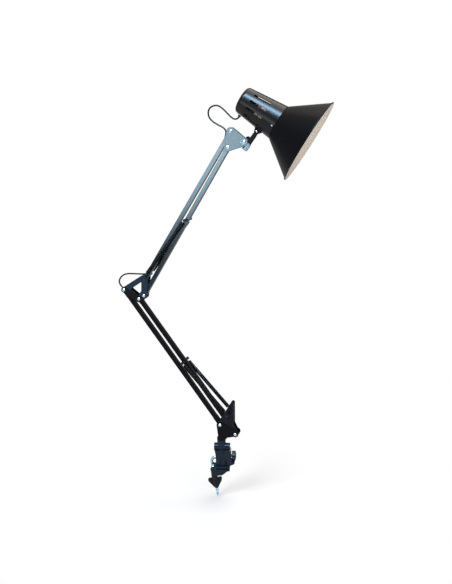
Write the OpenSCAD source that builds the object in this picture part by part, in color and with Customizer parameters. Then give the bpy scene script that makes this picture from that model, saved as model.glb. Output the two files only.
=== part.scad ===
// Accordion desk lamp: two sprung parallel-bar arms on a screw clamp, with a vented cone shade.
// Frame: X to the right, Z up, Y away from the viewer. The arms lie in the plane Y = 0.
// The origin is where the swivel axis meets the upper jaw's desk face.

/* [Arms] */
// Height of the lower left bar's pivot above the desk face
base_pivot_h = 95.5; // [85:0.5:105]
// Pivot to pivot length of the two lower bars
lower_arm_l = 348; // [300:1:400]
// Lean of the lower bars from level, seen from the front
lower_arm_angle = 126.75; // [122:0.25:128]
// Pivot to pivot length of the upper right bar
upper_arm_l = 350; // [300:1:400]
// Lean of the upper right bar from level, seen from the front
upper_arm_angle = 59.1; // [57:0.1:60]
// Distance between the two lower pivots on the base
lower_link_l = 37.5; // [36:0.5:42]
// Distance between the two upper pivots on the elbow
elbow_link_l = 33.8; // [30:0.1:36]
// Distance between the two pivots on the head
upper_link_l = 30.7; // [30:0.1:34]
// Width of a square-tube bar, seen from the front
bar_w = 8.4; // [7.4:0.1:8.6]
// Depth of a bar, front to back
bar_d = 10.4; // [9.6:0.1:12]
// Wall of a bar
bar_wall = 0.8; // [0.6:0.1:1]
// Sheet of the sleeves folded round the bar ends
sleeve_t = 0.4; // [0.3:0.05:0.5]
// Radius of the pivot rivets
rivet_r = 2; // [1.6:0.1:2.2]
// Radius of a rivet's domed head
rivet_head_r = 3.6; // [3.2:0.1:4.2]
// Sheet of the elbow, tab and head plates
plate_t = 1.2; // [1:0.1:1.4]

/* [Springs] */
// Outer diameter of a spring
spring_od = 8.4; // [7.8:0.1:8.6]
// Diameter of the spring wire
spring_wire_d = 1; // [0.8:0.1:1.2]
// Distance of a spring's axis from the plane of the arms
spring_y = 15; // [14.8:0.1:16]
// Curls drawn on each spring
spring_curls = 20; // [12:1:20]
// Distance of a spring's upper pin from the right bar's lower pivot
spring_pin_s = 186.5; // [170:0.5:200]

/* [Shade] */
// Outer diameter of the shade's rim
shade_d = 164; // [140:1:175]
// Outer diameter of the lamp housing where the shade meets it
neck_d = 65; // [63:0.2:70]
// Outer diameter of the housing near its back
back_d = 49; // [47:0.5:54]
// Length of the housing
housing_l = 82; // [76:0.5:90]
// Length of the shade's cone
cone_l = 67.5; // [60:0.5:80]
// Sheet of the shade and housing
shade_t = 1; // [0.8:0.1:1.2]
// Turn of the shade about its post, away from the viewer
shade_turn = 2.4; // [0:0.1:4]
// Angle of the shade's axis below level
shade_angle = 31.6; // [24:0.5:34]
// Number of vent slots round the housing
vent_count = 12; // [8:2:14]
// Length of a vent slot
vent_l = 36; // [30:0.5:40]
// Width of a vent slot
vent_w = 4.4; // [3:0.1:5]
// Diameter of the bulb's globe
bulb_d = 60; // [50:1:62]
// Diameter of the round post under the housing
post_d = 9; // [8:0.1:9.4]

/* [Clamp] */
// Turn of the clamp about the swivel axis, away from the plane of the arms
clamp_turn = 12; // [0:1:20]
// Diameter of the spigot that turns in the clamp
spigot_d = 12.7; // [11:0.1:13.5]
// Depth of the spigot in the clamp
spigot_l = 34; // [28:0.5:36]
// Outer diameter of the swivel column
column_d = 18.4; // [17.6:0.1:20]
// Depth of the jaw faces, front to back
jaw_d = 32; // [28:1:36]
// Gap between the closed jaws
jaw_gap = 2.4; // [1:0.1:3.5]
// Diameter of the bent clamp rod
rod_d = 6; // [5.6:0.1:6.2]
// Tilt of the rod's threaded leg from upright
rod_tilt = 9.5; // [8:0.1:10]
// Diameter of the lamp's cord
cord_d = 3.2; // [2.8:0.1:3.4]

/* [Hidden] */
$fn = 48;

// Clearances
fit = 0.05;             // running clearance of a pin in its hole
link_play = 0.8;        // slack of the head's lower rivet, as its links aren't quite parallel
side_gap = 0.4;         // between a sleeve and the plates beside it
touch_gap = 0.3;        // between moving pieces that only pass each other
eps = 0.01;             // overlap of one cut past a face
deep = 60;              // a cut that is sure to pass through

// Colours
steel_black = [0.09, 0.10, 0.12];
slate = [0.30, 0.34, 0.39];
nickel = [0.86, 0.87, 0.88];
zinc = [0.70, 0.72, 0.74];
plastic_black = [0.06, 0.06, 0.07];

// Pivots, as [x, z] in the plane of the arms
function polar(l, a) = [l * cos(a), l * sin(a)];
base_link_angle = -27.4;
elbow_link_angle = 86.4;
upper_link_angle = 79.5;
elbow_offset = [44.6, -9.6];    // upper right pivot from the elbow's left pivot
lower_link = polar(lower_link_l, base_link_angle);
upper_link = polar(upper_link_l, upper_link_angle);
base_left = [-1.5, base_pivot_h];
base_right = base_left + lower_link;
elbow_left = base_left + polar(lower_arm_l, lower_arm_angle);
elbow_right = elbow_left + lower_link;
arm_right = elbow_left + elbow_offset;
arm_left = arm_right + polar(elbow_link_l, elbow_link_angle);
head_right = arm_right + polar(upper_arm_l, upper_arm_angle);
head_left = head_right + upper_link;
head_tilt = head_left + [26, -20.4];
left_bar = head_left - arm_left;
left_bar_l = norm(left_bar);
left_bar_angle = atan2(left_bar[1], left_bar[0]);
apex_stud = arm_left + polar(10.4, left_bar_angle);
lower_pin = base_right + polar(spring_pin_s, lower_arm_angle);
upper_pin = arm_right + polar(spring_pin_s, upper_arm_angle);

// Depths from the plane of the arms
bar_y = bar_d / 2;
sleeve_y = bar_y + sleeve_t;
plate_in = sleeve_y + side_gap;
plate_out = plate_in + plate_t;
bracket_out = plate_out + plate_t;
stud_end = spring_y + spring_od / 2 + 0.2;
rivet_head_h = 1.7;
stud_head_t = 1;

// ---- shared shapes ----

// Lays a flat outline in the plane of the arms, from depth y0 back to y1
module slab(y0, y1) {
    translate([0, y1, 0]) rotate([90, 0, 0]) linear_extrude(y1 - y0) children();
}
// A round pin through [x, z], from depth y0 back to y1
module pin(p, r, y0, y1) {
    translate([p[0], y1, p[1]]) rotate([90, 0, 0]) cylinder(r = r, h = y1 - y0);
}
// The same piece in front and behind: side is -1 in front and 1 behind
module both_sides() {
    children();
    mirror([0, 1, 0]) children();
}
// Outer tangent of two circles, on the right hand going from a to b
function tangent(a, b) =
    let (d = b[0] - a[0], w = atan2(d[1], d[0]) - acos((a[1] - b[1]) / norm(d)))
    [a[0] + polar(a[1], w), b[0] + polar(b[1], w)];
// Outline that wraps circles [centre, radius] listed anticlockwise, its straight sides a hair inside
wrap_in = 0.03;
module wrapped(circles) {
    n = len(circles);
    inner = [for (c = circles) [c[0], c[1] - wrap_in]];
    polygon([for (i = [0 : n - 1]) each tangent(inner[i], inner[(i + 1) % n])]);
    for (c = circles) translate(c[0]) circle(r = c[1]);
}
module round_rect(w, h, r) {
    square([w - 2 * r, h], center = true);
    square([w, h - 2 * r], center = true);
    for (x = [-1, 1], y = [-1, 1])
        translate([x * (w / 2 - r), y * (h / 2 - r)]) circle(r = r);
}
module slot(l, w) {
    square([l - w, w], center = true);
    for (x = [-1, 1]) translate([x * (l - w) / 2, 0]) circle(d = w, $fn = 24);
}
// A domed head standing on z = 0
module dome(r, h) {
    ball = (r * r + h * h) / (2 * h);
    intersection() {
        translate([0, 0, h - ball]) sphere(r = ball);
        cylinder(r = r + 1, h = h + 1);
    }
}
// A domed head on the front, standing at depth y towards the viewer
module front_dome(p, r, h, y) {
    translate([p[0], -y, p[1]]) rotate([90, 0, 0]) dome(r, h);
}
// A tube swept along points, with the frame carried from ring to ring
function unit(v) = v / norm(v);
function tangents(p) = [for (i = [0 : len(p) - 1])
    unit(p[min(i + 1, len(p) - 1)] - p[max(i - 1, 0)])];
function carried(u, t) = unit(u - (u * t) * t);
module tube(path, r, sides) {
    t = tangents(path);
    n = len(path);
    start = abs(t[0][1]) < 0.9 ? [0, 1, 0] : [0, 0, 1];
    us = [for (i = 0, u = carried(start, t[0]); i < n; i = i + 1,
        u = i < n ? carried(u, t[i]) : u) u];
    points = [for (i = [0 : n - 1], k = [0 : sides - 1])
        path[i] + r * (cos(360 * k / sides) * us[i] + sin(360 * k / sides) * cross(t[i], us[i]))];
    walls = [for (i = [0 : n - 2], k = [0 : sides - 1])
        let (a = i * sides + k, b = i * sides + (k + 1) % sides)
        each [[a, a + sides, b], [b, a + sides, b + sides]]];
    ends = [for (k = [1 : sides - 2]) each
        [[0, k, k + 1], [(n - 1) * sides, (n - 1) * sides + k + 1, (n - 1) * sides + k]]];
    polyhedron(points, concat(walls, ends));
}

// ---- clamp ----

rod_z = 18;             // height of the rod's level leg
rod_bend = 8;           // radius of the rod's bend
rod_foot_x = -19.2;     // where the threaded leg crosses the desk face
rod_below = 72;         // reach of the threaded leg below the desk face
rod_lap = 0.3;          // the straight legs run this far into the bend
column_top = 60;
barrel_z = 43.2;
barrel_r = 8.2;
barrel_x = [-15.5, 18.5];
body_d = 22;
jaw_t = 5;
jaw_right = 18.5;
jaw_left = -11.5;
rod_r = rod_d / 2;
rod_bend_x = rod_foot_x + (rod_bend - (rod_z - rod_bend) * sin(rod_tilt)) / cos(rod_tilt);
knob_z = 22.8;
knob_x = 22.4;
knob_t = 8;
knob_r = 10.3;
knob_lobes = 8;
screw_tip_x = spigot_d / 2 + 0.4;

// Turns a piece with the clamp, which faces a little away from the plane of the arms
module on_clamp() {
    rotate([0, 0, clamp_turn]) children();
}
// Places a piece on the rod's threaded leg, with z along it and 0 at the desk face
module on_rod() {
    on_clamp() translate([rod_foot_x, 0, 0]) rotate([0, -rod_tilt, 0]) children();
}
module along_x(x, z) {
    translate([x, 0, z]) rotate([0, 90, 0]) children();
}
// Steps of the body's left and right sides, as [x, z]
body_left_side = [[-14, 38.2], [-11.6, 27], [-11, jaw_t]];
body_right_side = [[19.1, jaw_t - 1], [28.4, 8.8], [28.8, 11.4], [20.8, 11.8], [20.6, 33], [17.5, 40.2]];
body_rib = [[0.2, 3], [5.8, 3], [5, 36], [1.2, 36]];
right_pocket = [[8.4, 9], [12.6, 9], [11.4, 20], [9, 20]];
left_pocket = [[-2.2, 9], [-0.2, 9], [0.6, 24], [-1.6, 22]];
module clamp_outline() {
    polygon(concat(body_left_side, [[jaw_left, 0], [jaw_right, 0]], body_right_side));
}
module clamp_body() color(slate) on_clamp() difference() {
    union() {
        cylinder(d = column_d, h = column_top);
        along_x(barrel_x[0], barrel_z) cylinder(r = barrel_r, h = barrel_x[1] - barrel_x[0]);
        slab(-body_d / 2, body_d / 2) clamp_outline();
        slab(-jaw_d / 2, jaw_d / 2) polygon([[jaw_left + 0.2, 0.4], [jaw_right - 0.2, 0.4],
            [jaw_right - 0.2, jaw_t - 0.6], [jaw_left + 0.2, jaw_t - 0.6]]);
        // A rib down the middle of each face
        slab(-body_d / 2 - 1.6, body_d / 2 + 1.6) polygon(body_rib);
    }
    // Cored pockets at the rib's foot, in front and behind
    both_sides() {
        slab(-body_d / 2 - deep, -body_d / 2 + 3) polygon(right_pocket);
        slab(-body_d / 2 - deep, -body_d / 2 + 2) polygon(left_pocket);
    }
    translate([0, 0, column_top - spigot_l - 1])
        cylinder(r = spigot_d / 2 + fit, h = spigot_l + 2);
    along_x(-deep, rod_z) cylinder(r = rod_r, h = deep - spigot_d / 2 - 2);
    along_x(0, knob_z) cylinder(r = rod_r + fit, h = deep);
}
// The rod's level leg stops short of the swivel bore
module clamp_rod() color(nickel) {
    on_clamp() {
        along_x(rod_bend_x - rod_lap, rod_z)
            cylinder(r = rod_r, h = -spigot_d / 2 - 2 - rod_bend_x + rod_lap);
        translate([rod_bend_x, 0, rod_z - rod_bend]) rotate([90, 0, 0]) rotate([0, 0, 90])
            rotate_extrude(angle = 90 + rod_tilt) translate([rod_bend, 0]) circle(r = rod_r + 0.03);
    }
    on_rod() translate([0, 0, -rod_below]) {
        top = (rod_z - rod_bend * (1 + sin(rod_tilt))) / cos(rod_tilt);
        cylinder(r = rod_r, h = rod_below + top + rod_lap);
    }
}
// A thumb screw whose tip bears on the spigot
module rod_knob() color(plastic_black) on_clamp() {
    along_x(knob_x, knob_z) {
        linear_extrude(knob_t) {
            circle(r = knob_r - 1.4);
            for (i = [0 : knob_lobes - 1]) rotate(360 * (i + 0.5) / knob_lobes)
                translate([knob_r - 2.6, 0]) circle(r = 2.6);
        }
        translate([0, 0, knob_t - 1]) cylinder(r = knob_r - 4, h = 2);
    }
    along_x(screw_tip_x, knob_z) cylinder(r = rod_r, h = knob_x - screw_tip_x + 1);
}
lower_jaw_h = 20.4;
module lower_jaw() color(slate) difference() {
    union() {
        on_clamp() {
            slab(-10, 10) polygon([[-21.2, -jaw_gap - 1], [jaw_right - 0.6, -jaw_gap - 1],
                [jaw_right - 1, -6], [2, -lower_jaw_h + 1.2], [-8, -lower_jaw_h],
                [-18.6, -lower_jaw_h]]);
            slab(-jaw_d / 2, jaw_d / 2) polygon([[-21.6, -jaw_gap], [jaw_right, -jaw_gap],
                [jaw_right, -jaw_gap - 3.6], [-21, -jaw_gap - 3.6]]);
        }
        on_rod() translate([0, 0, -lower_jaw_h - 1.9]) cylinder(r = 6.4, h = lower_jaw_h - 6);
    }
    on_rod() translate([0, 0, -deep]) cylinder(r = rod_r + fit, h = 2 * deep);
    // Relief round the rod, so that its slant clears whatever lies on the jaw
    on_rod() translate([0, 0, -jaw_gap - 4]) cylinder(r = rod_r + 1.2, h = 10);
}
nut_top = -lower_jaw_h - 2;
nut_h = 30.4;
nut_wing = 15;
module hand_nut() color(plastic_black) on_rod() difference() {
    union() {
        translate([0, 0, nut_top - nut_h]) cylinder(r1 = 4.6, r2 = 7, h = nut_h);
        slab(-2.6, 2.6) polygon([[-nut_wing, nut_top - 9.4], [-nut_wing + 2, nut_top - 8],
            [nut_wing - 2, nut_top - 8], [nut_wing, nut_top - 9.4], [nut_wing - 1, nut_top - 15],
            [4, nut_top - nut_h + 0.4], [-4, nut_top - nut_h + 0.4], [-nut_wing + 1, nut_top - 15]]);
        slab(-4.2, 4.2) for (x = [-1, 1])
            translate([x * (nut_wing - 4), nut_top - 12]) circle(r = 3.6);
    }
    translate([0, 0, -2 * deep]) cylinder(r = rod_r + fit, h = 2 * deep);
}

// ---- base ----

neck_top = 66;
tab_stud = base_left + [18.5, 27];
bracket_floor = [[-5.6, 64], [12.6, 65], [12.6, 68.5], [-5.6, 67.4]];
bracket_rounds = [[[-1.6, 69.5], 3.4], [[9.6, 70.8], 3.4], [base_right + [1, 2.4], 6.8], [base_left, 7]];
tab_top = [24.2, base_pivot_h + 49.4];
tab_waist = [22, base_pivot_h + 4.6];
tab_shoulder = [13.6, base_pivot_h + 27.4];
tab_hole = [22.4, base_pivot_h + 40.2];
tab_foot_hole = [16.2, base_pivot_h + 17.4];
module rivet_holes(list, r) {
    for (p = list) translate(p) circle(r = r);
}
module base_bracket() color(steel_black) {
    difference() {
        union() {
            both_sides() slab(-bracket_out, -plate_out) difference() {
                wrapped(bracket_rounds);
                rivet_holes([base_left, base_right], rivet_r);
            }
            slab(-bracket_out + 0.2, bracket_out - 0.2) polygon(bracket_floor);
            translate([0, 0, column_top + touch_gap])
                cylinder(d = column_d + 0.4, h = neck_top - 1.5 - column_top - touch_gap);
        }
    }
    translate([0, 0, column_top - spigot_l]) cylinder(d = spigot_d, h = spigot_l + 1);
}
module tab_outline() difference() {
    union() {
        wrapped([[tab_waist, 6], [tab_top, 3.5], [tab_shoulder, 5], [base_left, 6.5]]);
        wrapped([[base_left, 6.1], [base_right, 6.8], [tab_waist, 5.5]]);
    }
    rivet_holes([base_left, base_right, tab_stud], rivet_r);
    rivet_holes([tab_hole, tab_foot_hole], 1.8);
}
module spring_tab_near() color(slate) slab(-plate_out, -plate_in) tab_outline();
module spring_tab_far() color(slate) slab(plate_in, plate_out) tab_outline();
// A rivet right through a pair of plates, with a domed head each side
module through_rivet(p, y) {
    pin(p, rivet_r, -y, y);
    both_sides() front_dome(p, rivet_head_r, rivet_head_h, y);
}
// A short rivet in one plate and one bar wall, leaving the bar's bore open for the cord
inner_head_h = 1;
inner_head_r = 3;
inner_face = bar_y - bar_wall - 0.1;
module short_rivet(p, y) {
    pin(p, rivet_r, -y, -inner_face);
    pin(p, inner_head_r, -inner_face, -inner_face + inner_head_h);
}
module base_rivets() color(nickel) for (p = [base_left, base_right]) through_rivet(p, bracket_out);
module stud(p, y) {
    pin(p, rivet_r, -stud_end, -y);
    pin(p, rivet_r + 1.2, -stud_end - stud_head_t, -stud_end);
}
module tab_studs() color(nickel) both_sides() {
    stud(tab_stud, plate_in);
    pin(tab_stud, rivet_r + 1, -plate_out - 1.6, -plate_out);
}

// ---- bars ----

bar_end = 5;            // reach of a bar past its pivots
sleeve_l = 17;          // reach of a sleeve from its pivot
short_sleeve_l = 10;
left_sleeve_l = 30;
cord_slot = [6, 26];    // stretch of a cord slot, measured from the pivot
cord_slot_w = 5;
outlet_s = 30;          // cord outlet, measured from the lower left pivot

module on_bar(p, a) {
    translate([p[0], 0, p[1]]) rotate([0, -a, 0]) children();
}
// A stretch of rectangular section along local x
module stretch(x0, x1, d, w, r) {
    translate([x0, 0, 0]) rotate([90, 0, 90]) linear_extrude(x1 - x0) round_rect(d, w, r);
}
// play is the slack in the hole at the far end
module bar_tube(l, play = fit) {
    difference() {
        stretch(-bar_end, l + bar_end, bar_d, bar_w, 1);
        stretch(-bar_end - 1, l + bar_end + 1, bar_d - 2 * bar_wall, bar_w - 2 * bar_wall, 0.4);
        pin([0, 0], rivet_r + fit, -bar_d, bar_d);
        pin([l, 0], rivet_r + play, -bar_d, bar_d);
    }
}
// A sleeve folded round a bar end, from x0 to x1, with its rivet hole at x
module sleeve(x0, x1, x, play = fit) {
    difference() {
        stretch(x0, x1, bar_d + 2 * sleeve_t, bar_w + 2 * sleeve_t, 1 + sleeve_t);
        stretch(x0 - 1, x1 + 1, bar_d, bar_w, 1);
        pin([x, 0], rivet_r + play, -bar_d, bar_d);
    }
}
// A slot in the left wall, from x0 to x1, that lets the cord in
module side_slot(x0, x1) {
    translate([(x0 + x1) / 2, 0, bar_w / 4]) linear_extrude(bar_w) slot(x1 - x0, cord_slot_w);
}
module lower_left_bar() color(steel_black) on_bar(base_left, lower_arm_angle) difference() {
    bar_tube(lower_arm_l);
    pin([outlet_s, 0], outlet_r, 0, bar_d);
}
module lower_left_sleeves() color(steel_black) on_bar(base_left, lower_arm_angle) {
    sleeve(-bar_end, 20, 0);
    sleeve(lower_arm_l - sleeve_l, lower_arm_l + bar_end, lower_arm_l);
}
module lower_right_bar() color(steel_black) on_bar(base_right, lower_arm_angle) difference() {
    bar_tube(lower_arm_l);
    pin([spring_pin_s, 0], rivet_r, -bar_d, bar_d);
}
module lower_right_sleeves() color(steel_black) on_bar(base_right, lower_arm_angle) {
    sleeve(-bar_end, sleeve_l, 0);
    sleeve(lower_arm_l - short_sleeve_l, lower_arm_l + bar_end, lower_arm_l);
}
module upper_left_bar() color(slate) on_bar(arm_left, left_bar_angle) difference() {
    bar_tube(left_bar_l);
    cord_slots();
}
module cord_slots() {
    side_slot(cord_slot[0], cord_slot[1]);
    side_slot(left_bar_l - cord_slot[1] - 3, left_bar_l - cord_slot[0] - 3);
}
module upper_left_sleeves() color(slate) on_bar(arm_left, left_bar_angle) difference() {
    union() {
        sleeve(-bar_end, left_sleeve_l, 0);
        sleeve(left_bar_l - short_sleeve_l, left_bar_l + bar_end, left_bar_l);
    }
    cord_slots();
}
module upper_right_bar() color(slate) on_bar(arm_right, upper_arm_angle) difference() {
    bar_tube(upper_arm_l, link_play);
    pin([spring_pin_s, 0], rivet_r, -bar_d, bar_d);
}
module upper_right_sleeves() color(slate) on_bar(arm_right, upper_arm_angle) {
    sleeve(-bar_end, short_sleeve_l, 0);
    sleeve(upper_arm_l - short_sleeve_l, upper_arm_l + bar_end, upper_arm_l, link_play);
}
// A pin through a right bar, with shoulders that hold the spring hooks out at their depth
module spring_pin(p) {
    pin(p, rivet_r, -stud_end, stud_end);
    both_sides() {
        pin(p, rivet_r + 1, -spring_y + spring_wire_d + 0.6, -bar_y);
        pin(p, rivet_r + 1.2, -stud_end - stud_head_t, -stud_end);
    }
}
module lower_spring_pin() color(nickel) spring_pin(lower_pin);
module upper_spring_pin() color(nickel) spring_pin(upper_pin);
// A rubber bush in the back wall where the supply cord would leave
outlet_r = 2.6;
outlet_bore_r = 1.65;
module cord_outlet() color(plastic_black) on_bar(base_left, lower_arm_angle) difference() {
    union() {
        pin([outlet_s, 0], outlet_r, bar_y - bar_wall - 0.8, bar_y);
        pin([outlet_s, 0], outlet_r + 0.9, bar_y, bar_y + 1.4);
    }
    pin([outlet_s, 0], outlet_bore_r, 0, bar_d);
}

// ---- elbow ----

elbow_rounds = [[elbow_left, 5.2], [elbow_right, 7], [arm_right, 7], [apex_stud, 4.6],
    [arm_left + [-2.5, 3.5], 6]];
elbow_window = [[arm_left + [-7.6, -6.6], 1.2], [elbow_left + [17.8, 3], 1.2],
    [elbow_right + [-1, 9.4], 1.2], [arm_right + [-6, 10.4], 1.2]];
module elbow_outline() difference() {
    wrapped(elbow_rounds);
    wrapped(elbow_window);
    rivet_holes([elbow_left, elbow_right, arm_left, arm_right, apex_stud], rivet_r);
}
module elbow_plate_near() color(slate) slab(-plate_out, -plate_in) elbow_outline();
module elbow_plate_far() color(slate) slab(plate_in, plate_out) elbow_outline();
module elbow_rivets() color(nickel) {
    for (p = [elbow_right, arm_right]) through_rivet(p, plate_out);
    both_sides() {
        short_rivet(elbow_left, plate_out);
        front_dome(elbow_left, rivet_head_r, rivet_head_h, plate_out);
        short_rivet(arm_left, plate_out - 0.2);
    }
}
module elbow_studs() color(nickel) both_sides() {
    stud(apex_stud, plate_in);
    pin(apex_stud, rivet_r + 1, -plate_out - 1.6, -plate_out);
}

// ---- springs ----

coil_r = (spring_od - spring_wire_d) / 2;
eye_r = rivet_r + spring_wire_d / 2 + 0.3;
coil_start = 9;         // from the stud to the first curl
coil_stop = 13;         // from the last curl to the pin
curl_rings = 8;
lower_spring_v = lower_pin - tab_stud;
upper_spring_v = upper_pin - apex_stud;
// One unbroken wire: a hook round the stud, a short neck, then the curls
function spring_path(l) =
    let (pitch = (l - coil_stop - coil_start) / spring_curls, n = spring_curls * curl_rings)
    concat(
        [for (a = [70 : 30 : 280]) [eye_r * cos(a), 0, eye_r * sin(a)]],
        [[coil_start * 0.45, 0, -1.2], [coil_start * 0.75, 0, 0]],
        [for (i = [0 : n]) let (a = 360 * i / curl_rings, r = coil_r * min(1, (i + 1) / 5))
            [coil_start + pitch * i / curl_rings, r * sin(a), r * cos(a)]]);
function straight_end(p, l) = concat(p, [p[len(p) - 1] + l * unit(p[len(p) - 1] - p[len(p) - 2])]);
// Least distance between parts of the wire that aren't neighbours, less the wire
function least_gap(p, skip) = min([for (i = [0 : len(p) - skip - 1], j = [i + skip : len(p) - 1])
    norm(p[i] - p[j])]) - spring_wire_d;
lower_spring_path = straight_end(spring_path(norm(lower_spring_v)), spring_wire_d);
upper_spring_path = straight_end(spring_path(norm(upper_spring_v)), spring_wire_d);
echo(lower_spring_gap_mm = least_gap(lower_spring_path, 5),
    upper_spring_gap_mm = least_gap(upper_spring_path, 5));
module spring(p, v, path, side) {
    translate([p[0], side * spring_y, p[1]]) rotate([0, -atan2(v[1], v[0]), 0])
        tube(path, spring_wire_d / 2, 6);
}
// A straight hook wire from a bar's pin that runs inside the curls as the spring draws out
module hook(p, v, side, reach) {
    translate([p[0], side * spring_y, p[1]]) rotate([0, -atan2(-v[1], -v[0]), 0]) {
        rotate([90, 0, 0]) rotate_extrude() translate([eye_r, 0]) circle(d = spring_wire_d);
        rotate([0, 90, 0]) translate([0, 0, eye_r]) cylinder(d = spring_wire_d, h = reach);
    }
}
module lower_spring_near() color(steel_black)
    spring(tab_stud, lower_spring_v, lower_spring_path, -1);
module lower_spring_far() color(steel_black)
    spring(tab_stud, lower_spring_v, lower_spring_path, 1);
module lower_spring_hooks() color(steel_black)
    for (side = [-1, 1]) hook(lower_pin, lower_spring_v, side, coil_stop + 15);
module upper_spring_near() color(steel_black)
    spring(apex_stud, upper_spring_v, upper_spring_path, -1);
module upper_spring_far() color(steel_black)
    spring(apex_stud, upper_spring_v, upper_spring_path, 1);
module upper_spring_hooks() color(steel_black)
    for (side = [-1, 1]) hook(upper_pin, upper_spring_v, side, coil_stop + 27);

// ---- head ----

bolt_r = 2.5;
washer_t = 0.8;
head_rounds = [[head_right, 7], [head_tilt, 7], [head_left, 7.4]];
module head_outline() difference() {
    wrapped(head_rounds);
    rivet_holes([head_left, head_right], rivet_r);
    translate(head_tilt) circle(r = bolt_r);
}
module head_bracket() color(slate) {
    both_sides() slab(-plate_out, -plate_in) head_outline();
    edge = tangent(head_rounds[0], head_rounds[1]);
    run = unit(edge[1] - edge[0]);
    in = [-run[1], run[0]];
    slab(-plate_in - eps, plate_in + eps) polygon([edge[0] + 8 * run, edge[0] + 19 * run,
        edge[0] + 19 * run + plate_t * in, edge[0] + 8 * run + plate_t * in]);
}
module head_rivets() color(nickel) {
    through_rivet(head_right, plate_out);
    both_sides() {
        short_rivet(head_left, plate_out);
        front_dome(head_left, rivet_head_r, rivet_head_h, plate_out);
    }
}
module tilt_bolt() color(nickel) {
    pin(head_tilt, bolt_r, -plate_out - washer_t, plate_out + 9);
    front_dome(head_tilt, 4, 1.9, plate_out + washer_t);
}
washer_teeth = 10;
module star_washer() color(zinc) slab(-plate_out - washer_t, -plate_out) translate(head_tilt)
    difference() {
        union() {
            circle(r = 4.4);
            for (i = [0 : washer_teeth - 1]) rotate(360 * i / washer_teeth)
                translate([4.2, 0]) square([2.6, 1.3], center = true);
        }
        circle(r = bolt_r);
    }
module wing_washer() color(zinc) difference() {
    pin(head_tilt, 5.4, plate_out, plate_out + washer_t);
    pin(head_tilt, bolt_r, 0, deep);
}
wing_y = plate_out + washer_t + 0.2;
wing_span = 12;
module wing_nut() color(plastic_black) difference() {
    union() {
        pin(head_tilt, 5, wing_y, wing_y + 8);
        for (a = [-50, 130]) translate([head_tilt[0], 0, head_tilt[1]]) rotate([0, a, 0])
            slab(wing_y + 2, wing_y + 7)
                wrapped([[[0, 0], 3], [[wing_span - 3.4, 1.4], 3.4], [[wing_span - 5, 2.4], 3.4]]);
    }
    pin(head_tilt, bolt_r + fit, wing_y - 1, plate_out + 9.4);
}
// Post: its axis passes under the housing's pivot and beside the tilt bolt
post_angle = 54.5;
post_reach = 34;        // from the housing pivot down to the middle of the knuckle's collar
collar_l = 14;
collar_r = 5.5;
post_pin_r = 3.2;
shade_pivot = head_tilt + [24.3, 19.7];
collar_mid = shade_pivot - polar(post_reach, post_angle);
// Places a piece on the post's axis, with z along it and 0 at the collar's middle
module on_post() {
    translate([collar_mid[0], 0, collar_mid[1]]) rotate([0, 90 - post_angle, 0]) children();
}
module knuckle() color(zinc) difference() {
    union() {
        pin(head_tilt, 6.4, -plate_in + touch_gap, plate_in - touch_gap);
        on_post() translate([0, 0, -collar_l / 2]) cylinder(r = collar_r, h = collar_l);
        slab(-4.6, 4.6) wrapped([[head_tilt, 4.2], [collar_mid, 4.2],
            [collar_mid + polar(2.6, post_angle), 4.2]]);
    }
    pin(head_tilt, bolt_r + fit, -deep, deep);
    on_post() {
        translate([0, 0, -deep]) cylinder(r = post_pin_r + fit, h = 2 * deep);
        // Room for the post where it passes the tilt barrel
        translate([0, 0, collar_l / 2]) cylinder(r = post_d / 2 + touch_gap, h = deep);
    }
}
tongue_y = 3;
// Turns a piece about the post, with the shade
module with_shade() {
    translate([shade_pivot[0], 0, shade_pivot[1]])
        rotate(shade_turn, [cos(post_angle), 0, sin(post_angle)])
            translate([-shade_pivot[0], 0, -shade_pivot[1]]) children();
}
module post() color(plastic_black) {
    on_post() {
        translate([0, 0, -collar_l / 2 - 1.4])
            cylinder(r = post_pin_r, h = collar_l + 2);
        translate([0, 0, collar_l / 2 + touch_gap])
            cylinder(d = post_d, h = post_reach - 8 - collar_l / 2 - touch_gap);
    }
    with_shade() difference() {
        intersection() {
            slab(-tongue_y, tongue_y)
                wrapped([[shade_pivot, 2.9], [shade_pivot - polar(9, post_angle), 4.2]]);
            on_post() cylinder(d = post_d + 0.4, h = deep);
        }
        pin(shade_pivot, fork_rivet_r + fit, -deep, deep);
    }
}
module post_clip() color(nickel) on_post() translate([0, 0, -collar_l / 2 - 1.3])
    difference() {
        cylinder(r = 4.6, h = 1);
        translate([0, 0, -1]) cylinder(r = post_pin_r, h = 3);
    }

// ---- shade, housing and what they hold ----

// Axis frame: x runs from the housing's back to the rim, z is the upper side
shade_drop = 34.5;      // from the pivot up to the shade's axis
pivot_from_back = 55.6;
shade_back = shade_pivot - polar(pivot_from_back, -shade_angle)
    + polar(shade_drop, 90 - shade_angle);
module on_shade() {
    with_shade() translate([shade_back[0], 0, shade_back[1]]) rotate([0, shade_angle, 0]) children();
}
module turned(sides = 96) {
    rotate([0, 90, 0]) rotate_extrude($fn = sides) children();
}
back_r = back_d / 2;
neck_r = neck_d / 2;
rim_r = shade_d / 2;
edge_r = 6;             // rounding of the housing's back edge
bead_r = 1.3;           // rolled rim
lip_l = 4;              // stretch of the shade that sits inside the housing
switch_hole_r = 8;
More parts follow.
